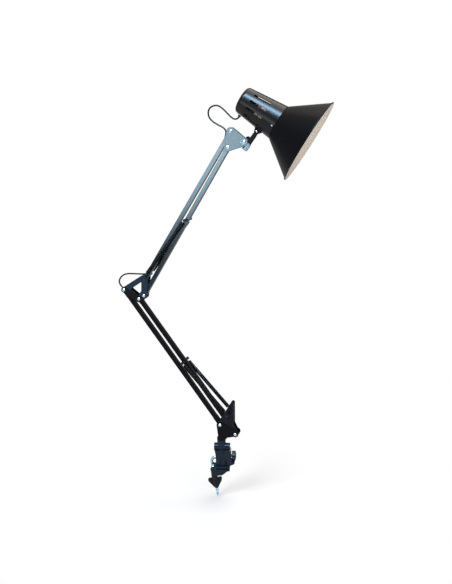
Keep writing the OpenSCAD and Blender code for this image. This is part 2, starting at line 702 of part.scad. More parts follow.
// Half profile of the housing, taken in by t from the outside: [radius, distance from back]
module housing_profile(t) {
    polygon([[0, t], [back_r - edge_r, t], [back_r - edge_r, edge_r], [0, edge_r]]);
    translate([back_r - edge_r, edge_r]) intersection() {
        circle(r = edge_r - t);
        translate([0, -edge_r]) square(edge_r);
    }
    front = housing_l + (t > 0 ? 1 : 0);
    polygon([[0, edge_r - eps], [housing_r(edge_r - eps) - t, edge_r - eps],
        [housing_r(front) - t, front], [0, front]]);
}
function housing_r(x) = back_r + (neck_r - back_r) * (x - edge_r) / (housing_l - edge_r);
vent_x = 19.5;
grommet_x = 12;
screw_x = housing_l - 4;
module housing() color(plastic_black) on_shade() difference() {
    turned() difference() {
        housing_profile(0);
        housing_profile(shade_t);
    }
    along_x(-deep, 0) cylinder(r = switch_hole_r, h = deep + 5);
    for (i = [0 : vent_count - 1]) rotate([360 * (i + 0.5) / vent_count, 0, 0])
        translate([vent_x + vent_l / 2, 0, 4]) linear_extrude(deep) slot(vent_l, vent_w);
    translate([grommet_x, 0, -deep]) cylinder(r = grommet_r, h = deep);
    for (i = [0 : 2]) rotate([screw_turn + 120 * i, 0, 0]) translate([screw_x, 0, 0])
        cylinder(r = screw_r, h = deep);
}
// The shade: a lip inside the housing, a rounded shoulder, the cone and a rolled rim
shoulder = 2.6;
module shade() color(plastic_black) on_shade() difference() {
    turned() {
        r0 = neck_r - shade_t - 0.1;
        lip_x = housing_l - 2 * lip_l;
        lip_r = housing_r(lip_x) - shade_t - 0.1;
        polygon([[lip_r - shade_t, lip_x], [lip_r, lip_x],
            [r0, housing_l + 0.2], [neck_r + 0.3, housing_l + 0.4], [neck_r + shoulder, housing_l + 2.2],
            [rim_r - bead_r, housing_l + cone_l - bead_r],
            [rim_r - bead_r - 1.3 * shade_t, housing_l + cone_l - bead_r],
            [neck_r + shoulder - 1.3 * shade_t, housing_l + 3.2], [r0 - shade_t, housing_l + 2]]);
        translate([rim_r - bead_r, housing_l + cone_l - bead_r]) circle(r = bead_r);
    }
    for (i = [0 : 2]) rotate([screw_turn + 120 * i, 0, 0]) translate([screw_x, 0, 0])
        cylinder(r = screw_r, h = deep);
}
screw_r = 1.5;
screw_seat = housing_r(screw_x) + 0.25;
screw_turn = 105;       // a screw faces the viewer, a little under the middle
module housing_screws() color(nickel) on_shade()
    for (i = [0 : 2]) rotate([screw_turn + 120 * i, 0, 0]) {
        translate([screw_x, 0, screw_seat - 4]) cylinder(r = screw_r, h = 4.2);
        translate([screw_x, 0, screw_seat]) dome(2.3, 1.3);
    }
// Fork under the housing that holds the post's tongue
fork_t = 1.8;
fork_r = 5.2;
fork_rivet_r = 1.6;
fork_in = tongue_y + 0.2;
fork_out = fork_in + fork_t;
module shade_fork() color(plastic_black) on_shade() difference() {
    union() {
        both_sides() slab(-fork_out, -fork_in) {
            wrapped([[[pivot_from_back, -shade_drop], fork_r],
                [[pivot_from_back + 9, -shade_drop + 6], 2.4],
                [[pivot_from_back + 7, -shade_drop + 9], 1.6],
                [[pivot_from_back - 6.4, -shade_drop + 9], 1.6]]);
        }
        intersection() {
            translate([pivot_from_back - 8, -fork_out, -shade_drop + 2])
                cube([17.4, 2 * fork_out, 8]);
            turned() difference() {
                translate([0, pivot_from_back - 10]) square([deep, 24]);
                polygon([[0, 0], [housing_r(0), 0], [housing_r(housing_l), housing_l], [0, housing_l]]);
            }
            turned() polygon([[0, 0], [housing_r(0) + 1.6, 0],
                [housing_r(housing_l) + 1.6, housing_l], [0, housing_l]]);
        }
    }
    pin([pivot_from_back, -shade_drop], fork_rivet_r, -deep, deep);
    turned() polygon([[0, 0], [housing_r(0), 0], [housing_r(housing_l), housing_l], [0, housing_l]]);
}
module fork_rivet() color(nickel) with_shade() {
    pin(shade_pivot, fork_rivet_r, -fork_out, fork_out);
    both_sides() front_dome(shade_pivot, 2.4, 1.2, fork_out);
}
// Lampholder: porcelain body on a sheet bracket, and the screw shell with its liner
socket_x = 18;
socket_l = 24;
socket_r = 17;
shell_l = 13;
shell_r = 15.4;
cap_r = 13;
cap_l = 26;
bulb_l = 104;
socket_end = socket_x + socket_l;
module socket_body() color([0.87, 0.86, 0.82]) on_shade() difference() {
    along_x(socket_x, 0) {
        cylinder(r = socket_r, h = socket_l);
        cylinder(r = socket_r + 2, h = 6);
    }
    along_x(socket_x + 8, 0) cylinder(r = cap_r + 0.4, h = deep);
    along_x(socket_x - 1, 0) cylinder(r = 3, h = 12);
}
module socket_shell() color([0.72, 0.42, 0.20]) on_shade() difference() {
    along_x(socket_end, 0) cylinder(r = shell_r, h = shell_l);
    along_x(socket_end - 1, 0) cylinder(r = cap_r + 0.4, h = deep);
}
// A strap across the inside of the housing that the lampholder is screwed to, with a foot at each end
foot_t = 1.2;
module socket_bracket() color(zinc) on_shade() difference() {
    intersection() {
        union() {
            translate([socket_x - 1.5, -7, -deep]) cube([1.5, 14, 2 * deep]);
            for (z = [-deep, 12]) translate([socket_x - 1.5, -7, z]) cube([10, 14, deep - 12]);
        }
        turned() polygon([[0, 0], [housing_r(0) - shade_t, 0],
            [housing_r(housing_l) - shade_t, housing_l], [0, housing_l]]);
    }
    turned() polygon([[0, socket_x], [housing_r(socket_x) - shade_t - foot_t, socket_x],
        [housing_r(housing_l) - shade_t - foot_t, housing_l], [0, housing_l]]);
    along_x(0, 0) cylinder(r = 3, h = deep);
}
bulb_x = socket_x + 9;  // end of the bulb's cap inside the holder
cap_wall = 1;
module bulb_cap() color([0.80, 0.81, 0.82]) on_shade() difference() {
    union() {
        along_x(bulb_x, 0) cylinder(r1 = 5, r2 = cap_r, h = 3);
        along_x(bulb_x + 3, 0) cylinder(r = cap_r, h = cap_l - 3);
    }
    along_x(bulb_x + 4, 0) cylinder(r = cap_r - cap_wall, h = cap_l);
}
glass_t = 1;
// Half profile of the bulb's glass, taken in by t; the neck is open towards the cap
module bulb_profile(t) {
    globe_x = bulb_x + bulb_l - bulb_d / 2;
    neck_x = bulb_x + cap_l;
    neck = neck_x - (t > 0 ? 1 : 0);
    globe_r = bulb_d / 2 - t;
    neck_end_r = cap_r + 0.6 - t;
    rise = acos((bulb_d / 2 - 14) / (globe_x - neck_x));
    intersection() {
        translate([0, globe_x]) circle(r = globe_r);
        translate([0, neck]) square(deep * 2);
    }
    polygon([[0, neck], [cap_r - t, neck], [neck_end_r, neck_x + 5 + 0.4 * t],
        [globe_r * sin(rise), globe_x - globe_r * cos(rise)], [0, globe_x]]);
}
module bulb_globe() color([0.96, 0.95, 0.90]) on_shade() turned() difference() {
    bulb_profile(0);
    bulb_profile(glass_t);
}
// Push switch, sunk in the middle of the housing's back
button_r = 5;
module switch_body() color(plastic_black) on_shade() difference() {
    union() {
        along_x(0, 0) cylinder(r = switch_hole_r, h = 14);
        along_x(shade_t, 0) cylinder(r = switch_hole_r + 2.5, h = 2);
    }
    along_x(-1, 0) cylinder(r = button_r + 0.2, h = 10);
}
module switch_button() color([0.55, 0.08, 0.07]) on_shade() {
    along_x(0.4, 0) cylinder(r = button_r, h = 6);
}
// Grommet under the back of the housing, and the bright clip on the cord below it
grommet_r = 3.4;
grommet_drop = 5;
module grommet() color(plastic_black) on_shade() difference() {
    union() {
        translate([grommet_x, 0, -housing_r(grommet_x) - 1.4])
            cylinder(r = grommet_r, h = 4.2);
        translate([grommet_x, 0, -housing_r(grommet_x) - grommet_drop])
            cylinder(r1 = 2.6, r2 = grommet_r, h = grommet_drop - 1.4);
    }
    translate([grommet_x, 0, -deep]) cylinder(d = cord_d, h = deep);
}
module grommet_clip() color(nickel) on_shade() difference() {
    intersection() {
        translate([grommet_x - 5, -5.5, -housing_r(grommet_x) - 2.4]) cube([10, 11, 2]);
        turned(240) polygon([[0, 0], [housing_r(0) + 1.4, 0],
            [housing_r(housing_l) + 1.4, housing_l], [0, housing_l]]);
    }
    turned(240) polygon([[0, 0], [housing_r(0), 0], [housing_r(housing_l), housing_l],
        [0, housing_l]]);
    translate([grommet_x, 0, -deep]) cylinder(r = grommet_r, h = deep);
}

// ---- cord ----

// Free stretches, as points chosen by hand in the plane of the arms: the first is measured from
// the head's upper pivot, the second from the elbow's left pivot
head_loop = [[13.7, 23.7], [11.1, 22.3], [8, 22], [4, 23], [-1, 26.5], [-6.8, 32.1], [-14.6, 39.6],
    [-21.4, 44.6], [-26.5, 46.8], [-31.7, 47.1], [-37.8, 45.4], [-42.6, 41.6], [-45, 36],
    [-44.5, 28.8], [-40.8, 22.2], [-34, 16.4], [-25.4, 11.4], [-17.2, 7.4], [-12.2, 3.2], [-10.3, -2],
    [-11, -7.6], [-12.7, -13.6], [-15.2, -19.6]];
elbow_loop = [[59.7, 46.1], [56.9, 41.3], [53.3, 37.5], [48.1, 35.5], [41.7, 34.9], [33.7, 34.7],
    [23.7, 34.5], [13.7, 34.3], [5.2, 33.3], [-2.1, 30.3], [-7.7, 25.5], [-11.1, 19.7], [-11.7, 14.1],
    [-9.5, 9.3], [-6.1, 5.3], [-2.3, 1.3]];
function flat(points) = [for (p = points) [p[0], 0, p[1]]];
bar_cord_start = 36;    // from a pivot to where the loop joins the run inside the bar
head_run_end = head_left - polar(bar_cord_start, left_bar_angle);
elbow_run_start = arm_left + polar(bar_cord_start, left_bar_angle);
lower_run_top = elbow_left - polar(8, lower_arm_angle);
grommet_mouth = shade_back + polar(grommet_x, -shade_angle)
    - polar(housing_r(grommet_x) + grommet_drop, 90 - shade_angle);
// A point in the plane of the arms, carried by the turn of the shade about its post
function with_turn(p) =
    let (k = [cos(post_angle), 0, sin(post_angle)], c = [shade_pivot[0], 0, shade_pivot[1]],
        v = [p[0], 0, p[1]] - c)
    c + v * cos(shade_turn) + cross(k, v) * sin(shade_turn) + k * (k * v) * (1 - cos(shade_turn));
cord_side = with_turn(grommet_mouth)[1];
module head_cord_loop() color(plastic_black)
    tube(concat([for (d = [8, 0, -1]) with_turn(grommet_mouth + polar(d, 90 - shade_angle))],
        [for (i = [0 : len(head_loop) - 1]) let (w = max(0, 1 - i / 10))
            [head_left[0] + head_loop[i][0], cord_side * w, head_left[1] + head_loop[i][1]]],
        flat([head_run_end + polar(6, left_bar_angle), head_run_end])), cord_d / 2, 8);
module upper_bar_cord() color(plastic_black) on_bar(arm_left, left_bar_angle)
    along_x(bar_cord_start, 0) cylinder(d = cord_d, h = left_bar_l - 2 * bar_cord_start);
module elbow_cord_loop() color(plastic_black)
    tube(flat(concat([elbow_run_start, elbow_run_start - polar(6, left_bar_angle)],
        [for (p = elbow_loop) elbow_left + p],
        [lower_run_top + polar(2, lower_arm_angle), lower_run_top])), cord_d / 2, 8);
module lower_bar_cord() color(plastic_black) on_bar(base_left, lower_arm_angle)
    along_x(outlet_s + 6, 0) cylinder(d = cord_d, h = lower_arm_l - 8 - outlet_s - 6);

clamp_body();
clamp_rod();
rod_knob();
lower_jaw();
hand_nut();
base_bracket();
spring_tab_near();
spring_tab_far();
base_rivets();
tab_studs();
lower_left_bar();
lower_left_sleeves();
lower_right_bar();
lower_right_sleeves();
lower_spring_pin();
cord_outlet();
elbow_plate_near();
elbow_plate_far();
elbow_rivets();
elbow_studs();
upper_left_bar();
upper_left_sleeves();
upper_right_bar();
upper_right_sleeves();
upper_spring_pin();
lower_spring_near();
lower_spring_far();
lower_spring_hooks();
upper_spring_near();
upper_spring_far();
upper_spring_hooks();
head_bracket();
head_rivets();
tilt_bolt();
star_washer();
wing_washer();
wing_nut();
knuckle();
post();
post_clip();
shade_fork();
fork_rivet();
housing();
shade();
housing_screws();
socket_body();
socket_shell();
socket_bracket();
bulb_globe();
bulb_cap();
switch_body();
switch_button();
grommet();
grommet_clip();
head_cord_loop();
upper_bar_cord();
elbow_cord_loop();
lower_bar_cord();
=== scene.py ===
import math

import bpy
from mathutils import Matrix, Vector


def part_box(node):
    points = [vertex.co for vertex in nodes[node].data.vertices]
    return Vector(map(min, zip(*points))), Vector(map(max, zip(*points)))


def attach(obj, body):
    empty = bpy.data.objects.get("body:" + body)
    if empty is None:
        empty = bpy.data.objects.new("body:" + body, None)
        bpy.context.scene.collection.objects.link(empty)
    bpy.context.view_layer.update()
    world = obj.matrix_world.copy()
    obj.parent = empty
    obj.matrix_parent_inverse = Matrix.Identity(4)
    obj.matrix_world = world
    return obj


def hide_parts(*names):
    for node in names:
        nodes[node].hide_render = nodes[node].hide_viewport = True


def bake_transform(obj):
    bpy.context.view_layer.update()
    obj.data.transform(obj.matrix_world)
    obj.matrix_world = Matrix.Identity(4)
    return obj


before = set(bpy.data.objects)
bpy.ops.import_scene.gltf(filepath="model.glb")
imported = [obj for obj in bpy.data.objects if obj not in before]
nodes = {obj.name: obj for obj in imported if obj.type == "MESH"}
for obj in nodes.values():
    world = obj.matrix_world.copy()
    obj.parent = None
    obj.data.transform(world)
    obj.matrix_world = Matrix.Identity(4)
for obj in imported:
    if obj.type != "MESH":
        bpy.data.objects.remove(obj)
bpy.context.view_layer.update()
mm = 0.001


def at(x, y, z):
    return Vector((x, y, z)) * mm


def middle(node):
    low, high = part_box(node)
    return (low + high) / 2


def polar(length, angle):
    # a step in the plane of the arms, angle from level
    return at(length * math.cos(math.radians(angle)), 0, length * math.sin(math.radians(angle)))


print("stage: camera")

camera = {
    "place": (336.83, -1219.76, 673.14),
    "aim": (10.0, 0.0, 381.6),
    "lens": 26.51,
    "film": 24.0,  # long side of the picture
    "near": 0.05,  # metres
}
camData = bpy.data.cameras.new("camera")
camData.lens = camera["lens"]
camData.sensor_width = camera["film"]
camData.clip_start = camera["near"]
camObject = bpy.data.objects.new("camera", camData)
camObject.location = at(*camera["place"])
gaze = at(*camera["aim"]) - camObject.location
camObject.rotation_euler = gaze.to_track_quat("-Z", "Y").to_euler()
bpy.context.scene.collection.objects.link(camObject)
bpy.context.scene.camera = camObject


# Shader nodes

class Socket:
    # a node's output that takes part in maths
    def __init__(self, paint, out):
        self.paint, self.out = paint, out

    def maths(self, operation, a, b=0.0):
        return self.paint.add("ShaderNodeMath", {"operation": operation}, {0: a, 1: b})

    def __add__(self, other):
        return self.maths("ADD", self, other)

    __radd__ = __add__

    def __sub__(self, other):
        return self.maths("SUBTRACT", self, other)

    def __mul__(self, other):
        return self.maths("MULTIPLY", self, other)

    def __gt__(self, other):
        return self.maths("GREATER_THAN", self, other)


class Paint:
    # a material's nodes, or those of another owner such as the world
    def __init__(self, name, owner=None):
        self.owner = owner or bpy.data.materials.new(name)
        self.owner.use_nodes = True
        self.tree = self.owner.node_tree
        self.tree.nodes.clear()

    def add(self, kind, settings=None, sockets=None, output=0):
        node = self.tree.nodes.new(kind)
        for name, value in (settings or {}).items():
            setattr(node, name, value)
        for key, value in (sockets or {}).items():
            if isinstance(value, Socket):
                self.tree.links.new(value.out, node.inputs[key])
            else:
                node.inputs[key].default_value = value
        return Socket(self, node.outputs[output]) if node.outputs else node

    def noise(self, where, scale, detail=3.0, rough=0.5):
        return self.add("ShaderNodeTexNoise", {}, {"Vector": where, "Scale": scale,
                                                   "Detail": detail, "Roughness": rough})

    def blendColours(self, share, a, b):
        def colour(c):
            return c if isinstance(c, Socket) else (*c, 1.0)
        return self.add("ShaderNodeMix", {"data_type": "RGBA"},
                        {"Factor": share, 6: colour(a), 7: colour(b)}, 2)

    def steps(self, value, low, high):
        # 0 below low, 1 above high, smooth between
        return self.add("ShaderNodeMapRange", {"interpolation_type": "SMOOTHSTEP"},
                        {"Value": value, "From Min": low, "From Max": high})

    def bump(self, height, strength, distance):
        return self.add("ShaderNodeBump", {}, {"Height": height, "Strength": strength,
                                               "Distance": distance})

    def finish(self, sockets):
        surface = self.add("ShaderNodeBsdfPrincipled", {}, sockets)
        self.add("ShaderNodeOutputMaterial", {}, {"Surface": surface})
        return self.owner


wear = {
    "cloud": 38,  # scales of the noises
    "speck": 2600,
    "rub": 210,
    "scuff": 120,
    "speckFrom": 0.74,  # a speck shows where its noise is above this
    "speckShare": 0.25,
}


def enamel(name, look):
    # stove enamel: a faint orange peel, patches and specks of dust, painted light that grows up the piece, a
    # darker tone below a slanted line, and painted shade on the faces that don't look along y
    paint = Paint(name)
    where = paint.add("ShaderNodeTexCoord", output="Object")
    colour = look["colour"]
    if "far" in look:  # painted light: the lit tone at the far end of a slow change up the piece
        low, high = look["span"]
        height = paint.add("ShaderNodeSeparateXYZ", {}, {0: where}, "Z")
        colour = paint.blendColours(paint.steps(height, low * mm, high * mm), colour, look["far"])
    if "below" in look:  # tone on the lower side of a slanted line
        foot, across = look["line"]
        rise = Vector(across).normalized()
        over = paint.add("ShaderNodeVectorMath", {"operation": "DOT_PRODUCT"},
                         {0: where, 1: rise}, "Value")
        start = at(*foot).dot(rise)
        colour = paint.blendColours(paint.steps(over, start - 1 * mm, start + 1 * mm),
                                    look["below"], colour)
    if "edgeOn" in look:  # painted shade on the faces that don't look along y
        normal = paint.add("ShaderNodeTexCoord", output="Normal")
        facing = paint.add("ShaderNodeSeparateXYZ", {}, {0: normal}, "Y")
        unshadedShare = paint.steps(facing * facing, 0.35, 0.75)
        colour = paint.blendColours(unshadedShare, look["edgeOn"], colour)
    cloud = paint.noise(where, wear["cloud"], 4)
    colour = paint.blendColours(cloud * look["mottle"], colour, look["dust"])
    speck = paint.noise(where, wear["speck"], 2)
    colour = paint.blendColours((speck > wear["speckFrom"]) * wear["speckShare"], colour, look["dust"])
    peel = paint.noise(where, look["peelScale"], 2)
    rub = paint.noise(where, wear["rub"], 5, 0.62)
    return paint.finish({
        "Base Color": colour,
        "Roughness": look["roughness"] + (rub - 0.5) * look["rubbed"],
        "Specular IOR Level": look["specular"],
        "Normal": paint.bump(peel, look["peel"], 0.0001),
    })


def metal(name, look):
    # rolled or plated metal: fine grain, soft tarnish
    paint = Paint(name)
    where = paint.add("ShaderNodeTexCoord", output="Object")
    grain = paint.noise(where, look["grain"], 4)
    tarnish = paint.noise(where, look["tarnishScale"], 3)
    colour = paint.blendColours(tarnish * look["tarnish"], look["colour"], look["dull"])
    bare = 1.0
    if "painted" in look:  # what lies within reach of this place is painted over
        place, reach = look["painted"]
        away = paint.add("ShaderNodeVectorMath", {"operation": "DISTANCE"},
                         {0: where, 1: at(*place)}, "Value")
        bare = paint.steps(away, (reach - 0.5) * mm, (reach + 0.5) * mm)
        colour = paint.blendColours(bare, look["paint"], colour)
    return paint.finish({
        "Base Color": colour,
        "Metallic": bare,
        "Roughness": look["roughness"] + (tarnish - 0.4) * look["uneven"],
        "Normal": paint.bump(grain, look["bump"], 0.00005),
    })


def moulded(name, look):
    # moulded plastic or rubber
    paint = Paint(name)
    where = paint.add("ShaderNodeTexCoord", output="Object")
    grain = paint.noise(where, look["grain"], 3)
    scuff = paint.noise(where, wear["scuff"], 5, 0.6)
    colour = paint.blendColours(scuff * look["mottle"], look["colour"], look["scuffed"])
    return paint.finish({
        "Base Color": colour,
        "Roughness": look["roughness"] + (scuff - 0.5) * 0.16,
        "Specular IOR Level": look["specular"],
        "Normal": paint.bump(grain, look["bump"], 0.0001),
    })


print("stage: finishes")

finishes = {
    "jetEnamel": enamel("jetEnamel", {
        "colour": (0.0030, 0.0026, 0.0045), "dust": (0.007, 0.007, 0.009), "mottle": 0.06,
        "roughness": 0.30, "rubbed": 0.10, "specular": 0.07, "peelScale": 900, "peel": 0.12}),
    # black enamel in a slate tone that is partly a painted sheen, lighter towards the head as a painted
    # reflection, with painted shade on the sides
    "slateEnamelPaintedLight": enamel("slateEnamelPaintedLight", {
        "colour": (0.007, 0.015, 0.024), "far": (0.24, 0.34, 0.40), "span": (385, 690),
        "edgeOn": (0.006, 0.007, 0.010), "dust": (0.08, 0.09, 0.10), "mottle": 0.05,
        "roughness": 0.30, "rubbed": 0.12, "specular": 0.16, "peelScale": 900, "peel": 0.10}),
    # painted shade on the sides, and a darker tone below a slanted line
    "elbowEnamelPaintedShade": enamel("elbowEnamelPaintedShade", {
        "colour": (0.011, 0.025, 0.040), "edgeOn": (0.006, 0.007, 0.010),
        "below": (0.0035, 0.0040, 0.0060), "line": ((-176.4, 0, 365.5), (17.3, 0, 33.3)),
        "dust": (0.04, 0.05, 0.06), "mottle": 0.05,
        "roughness": 0.30, "rubbed": 0.12, "specular": 0.10, "peelScale": 900, "peel": 0.10}),
    # dark enamel, lighter towards the top as a painted reflection, with painted shade on the sides
    "plateEnamelPaintedLight": enamel("plateEnamelPaintedLight", {
        "colour": (0.012, 0.026, 0.042), "far": (0.19, 0.27, 0.32), "span": (400, 690),
        "edgeOn": (0.006, 0.007, 0.010), "dust": (0.16, 0.18, 0.20), "mottle": 0.06,
        "roughness": 0.30, "rubbed": 0.12, "specular": 0.16, "peelScale": 900, "peel": 0.10}),
    # black enamel, warmer towards the top as painted warm light from above
    "coneEnamelPaintedLight": enamel("coneEnamelPaintedLight", {
        "colour": (0.0025, 0.0025, 0.0040), "far": (0.009, 0.006, 0.004), "span": (690, 750),
        "dust": (0.006, 0.0055, 0.005), "mottle": 0.06,
        "roughness": 0.34, "rubbed": 0.03, "specular": 0.07, "peelScale": 700, "peel": 0.015}),
    "tabEnamel": enamel("tabEnamel", {
        "colour": (0.0045, 0.0070, 0.0110), "dust": (0.012, 0.016, 0.021), "mottle": 0.06,
        "roughness": 0.30, "rubbed": 0.10, "specular": 0.10, "peelScale": 900, "peel": 0.10}),
    # black enamel, warmer towards the top as painted warm light from above
    "satinEnamel": enamel("satinEnamel", {
        "colour": (0.0030, 0.0030, 0.0045), "far": (0.010, 0.007, 0.0045), "span": (700, 765),
        "dust": (0.007, 0.006, 0.0055), "mottle": 0.06,
        "roughness": 0.26, "rubbed": 0.03, "specular": 0.18, "peelScale": 700, "peel": 0.015}),
    "creamEnamel": enamel("creamEnamel", {
        "colour": (0.62, 0.55, 0.48), "dust": (0.50, 0.44, 0.37), "mottle": 0.30,
        "roughness": 0.45, "rubbed": 0.10, "specular": 0.5, "peelScale": 700, "peel": 0.10}),
    "clampMoulding": moulded("clampMoulding", {
        "colour": (0.005, 0.012, 0.023), "scuffed": (0.009, 0.018, 0.031), "mottle": 0.35,
        "roughness": 0.24, "specular": 0.16, "grain": 1400, "bump": 0.06}),
    "blackMoulding": moulded("blackMoulding", {
        "colour": (0.004, 0.005, 0.008), "scuffed": (0.010, 0.013, 0.018), "mottle": 0.4,
        "roughness": 0.28, "specular": 0.16, "grain": 1400, "bump": 0.08}),
    "cordSheath": moulded("cordSheath", {
        "colour": (0.006, 0.006, 0.008), "scuffed": (0.02, 0.02, 0.024), "mottle": 0.4,
        "roughness": 0.38, "specular": 0.22, "grain": 2200, "bump": 0.10}),
    "redButton": moulded("redButton", {
        "colour": (0.30, 0.02, 0.015), "scuffed": (0.22, 0.03, 0.02), "mottle": 0.4,
        "roughness": 0.30, "specular": 0.5, "grain": 1400, "bump": 0.05}),
    "brightPlate": metal("brightPlate", {
        "colour": (0.60, 0.66, 0.72), "dull": (0.30, 0.35, 0.40), "tarnish": 0.45,
        "tarnishScale": 420, "roughness": 0.22, "uneven": 0.12, "grain": 2500, "bump": 0.10}),
    "elbowPlate": metal("elbowPlate", {
        "colour": (0.50, 0.58, 0.66), "dull": (0.26, 0.31, 0.36), "tarnish": 0.45,
        "tarnishScale": 420, "roughness": 0.24, "uneven": 0.12, "grain": 2500, "bump": 0.10,
        "painted": ((-163, 0, 400), 22), "paint": (0.008, 0.012, 0.018)}),
    "blackenedSteel": metal("blackenedSteel", {
        "colour": (0.030, 0.036, 0.044), "dull": (0.015, 0.017, 0.020), "tarnish": 0.6,
        "tarnishScale": 500, "roughness": 0.30, "uneven": 0.16, "grain": 2400, "bump": 0.1}),
    "zincCast": metal("zincCast", {
        "colour": (0.34, 0.46, 0.54), "dull": (0.16, 0.23, 0.28), "tarnish": 0.6,
        "tarnishScale": 260, "roughness": 0.38, "uneven": 0.18, "grain": 1100, "bump": 0.45}),
    "drawnSteel": metal("drawnSteel", {
        "colour": (0.42, 0.55, 0.64), "dull": (0.25, 0.33, 0.40), "tarnish": 0.5,
        "tarnishScale": 300, "roughness": 0.26, "uneven": 0.14, "grain": 1800, "bump": 0.2}),
    "springSteel": metal("springSteel", {
        "colour": (0.014, 0.013, 0.014), "dull": (0.007, 0.007, 0.008), "tarnish": 0.6,
        "tarnishScale": 500, "roughness": 0.46, "uneven": 0.10, "grain": 2400, "bump": 0.05}),
}


def holderTwoTone(name, look):
    # the lampholder behind the slots: painted shade at the back, then copper above as a painted warm
    # reflection, and cream below
    paint = Paint(name)
    where = paint.add("ShaderNodeTexCoord", output="Object")

    def along(direction):
        return paint.add("ShaderNodeVectorMath", {"operation": "DOT_PRODUCT"},
                         {0: where, 1: direction}, "Value") - look["back"].dot(direction)

    tone = paint.blendColours(paint.steps(along(look["up"]), -2 * mm, 2 * mm), look["below"], look["above"])
    pastShade = paint.steps(along(look["axis"]), (look["pastShade"] - 1) * mm, (look["pastShade"] + 1) * mm)
    grain = paint.noise(where, 900, 3)
    return paint.finish({
        "Base Color": paint.blendColours(pastShade, look["soot"], tone),
        "Roughness": 0.42 + (grain - 0.5) * 0.2,
        "Specular IOR Level": 0.3,
        "Normal": paint.bump(grain, 0.1, 0.00005),
    })


def opalGlass(name, look):
    paint = Paint(name)
    where = paint.add("ShaderNodeTexCoord", output="Object")
    cloud = paint.noise(where, 60, 3)
    return paint.finish({
        "Base Color": paint.blendColours(cloud * 0.5, look["colour"], look["shadow"]),
        "Roughness": 0.12 + cloud * 0.06,
        "Specular IOR Level": 0.5,
        "Coat Weight": 0.6,
        "Coat Roughness": 0.05,
    })


finishes["opalGlass"] = opalGlass("opalGlass", {"colour": (0.80, 0.78, 0.72),
                                                "shadow": (0.70, 0.68, 0.62)})


# Mesh makers

def meshPiece(name, points, faces, finish, body=None, slot=None):
    mesh = bpy.data.meshes.new(name)
    mesh.from_pydata([tuple(p) for p in points], [], faces)
    mesh.validate()
    mesh.update()
    piece = bpy.data.objects.new(name, mesh)
    bpy.context.scene.collection.objects.link(piece)
    for one in finish if isinstance(finish, list) else [finish]:
        mesh.materials.append(finishes[one])
    for polygon in mesh.polygons:
        polygon.use_smooth = True
    if body:
        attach(piece, body)
    return piece


def smoothRoute(points, spacing):
    # an even run of points on a smooth curve through the given ones, and its length
    dense = []
    last = len(points) - 1
    for i in range(last):
        a, b = points[max(i - 1, 0)], points[i]
        c, d = points[i + 1], points[min(i + 2, last)]
        for k in range(16):
            t = k / 16
            dense.append(0.5 * (2 * b + (c - a) * t + (2 * a - 5 * b + 4 * c - d) * t * t
                                + (3 * b - a - 3 * c + d) * t * t * t))
    dense.append(points[-1])
    reach = [0.0]
    for p, q in zip(dense, dense[1:]):
        reach.append(reach[-1] + (q - p).length)
    count = max(2, round(reach[-1] / spacing))
    even, k = [], 0
    for i in range(count + 1):
        want = reach[-1] * i / count
        while k < len(reach) - 2 and reach[k + 1] < want:
            k += 1
        share = (want - reach[k]) / max(reach[k + 1] - reach[k], 1e-9)
        even.append(dense[k].lerp(dense[k + 1], min(max(share, 0), 1)))
    return even, reach[-1]


def tubeMesh(route, radius, sides, first=0, last=None):
    # a closed tube along route[first] to route[last], of one radius; side is any way across it
    points, faces = [], []
    last = len(route) - 1 if last is None else last
    side = Vector((0.3, 1, 0.2))
    for i in range(first, last + 1):
        ahead = (route[min(i + 1, len(route) - 1)] - route[max(i - 1, 0)]).normalized()
        side = (side - ahead * side.dot(ahead)).normalized()
        up = ahead.cross(side)
        for k in range(sides):
            turn = 2 * math.pi * k / sides
            points.append(route[i] + (side * math.cos(turn) + up * math.sin(turn)) * radius)
    rings = last - first
    for i in range(rings):
        for k in range(sides):
            a, b = i * sides + k, i * sides + (k + 1) % sides
            faces.append((a, b, b + sides, a + sides))
    faces.append(tuple(reversed(range(sides))))
    faces.append(tuple(rings * sides + k for k in range(sides)))
    return points, faces


def lathe(name, profile, sides, place, finish, inner, **rest):
    # turns a closed profile of (x, radius) about the x axis; inner(k) picks the second finish
    points, faces, second = [], [], []
    for x, r in profile:
        for k in range(sides):
            turn = 2 * math.pi * k / sides
            points.append(place @ at(x, r * math.sin(turn), r * math.cos(turn)))
    for i in range(len(profile)):
        for k in range(sides):
            a, b = i * sides + k, i * sides + (k + 1) % sides
            c, d = (b + sides) % len(points), (a + sides) % len(points)
            faces.append((a, b, c, d))
            second.append(1 if inner(i) else 0)
    piece = meshPiece(name, points, faces, finish, **rest)
    piece.data.polygons.foreach_set("material_index", second)
    return piece


def arc(centre, radius, start, stop, steps):
    # points (x, radius) on a circle, angles from the x axis
    for k in range(steps + 1):
        turn = math.radians(start + (stop - start) * k / steps)
        yield centre[0] + radius * math.cos(turn), centre[1] + radius * math.sin(turn)


def crisp(piece, width, angle=40):
    # a small round on every edge sharper than the angle, and shading that keeps the flats flat
    edges = piece.modifiers.new("edges", "BEVEL")
    edges.width = width * mm
    edges.segments = 2
    edges.limit_method = "ANGLE"
    edges.angle_limit = math.radians(angle)
    shading = piece.modifiers.new("shading", "WEIGHTED_NORMAL")
    shading.keep_sharp = True


print("stage: cords")

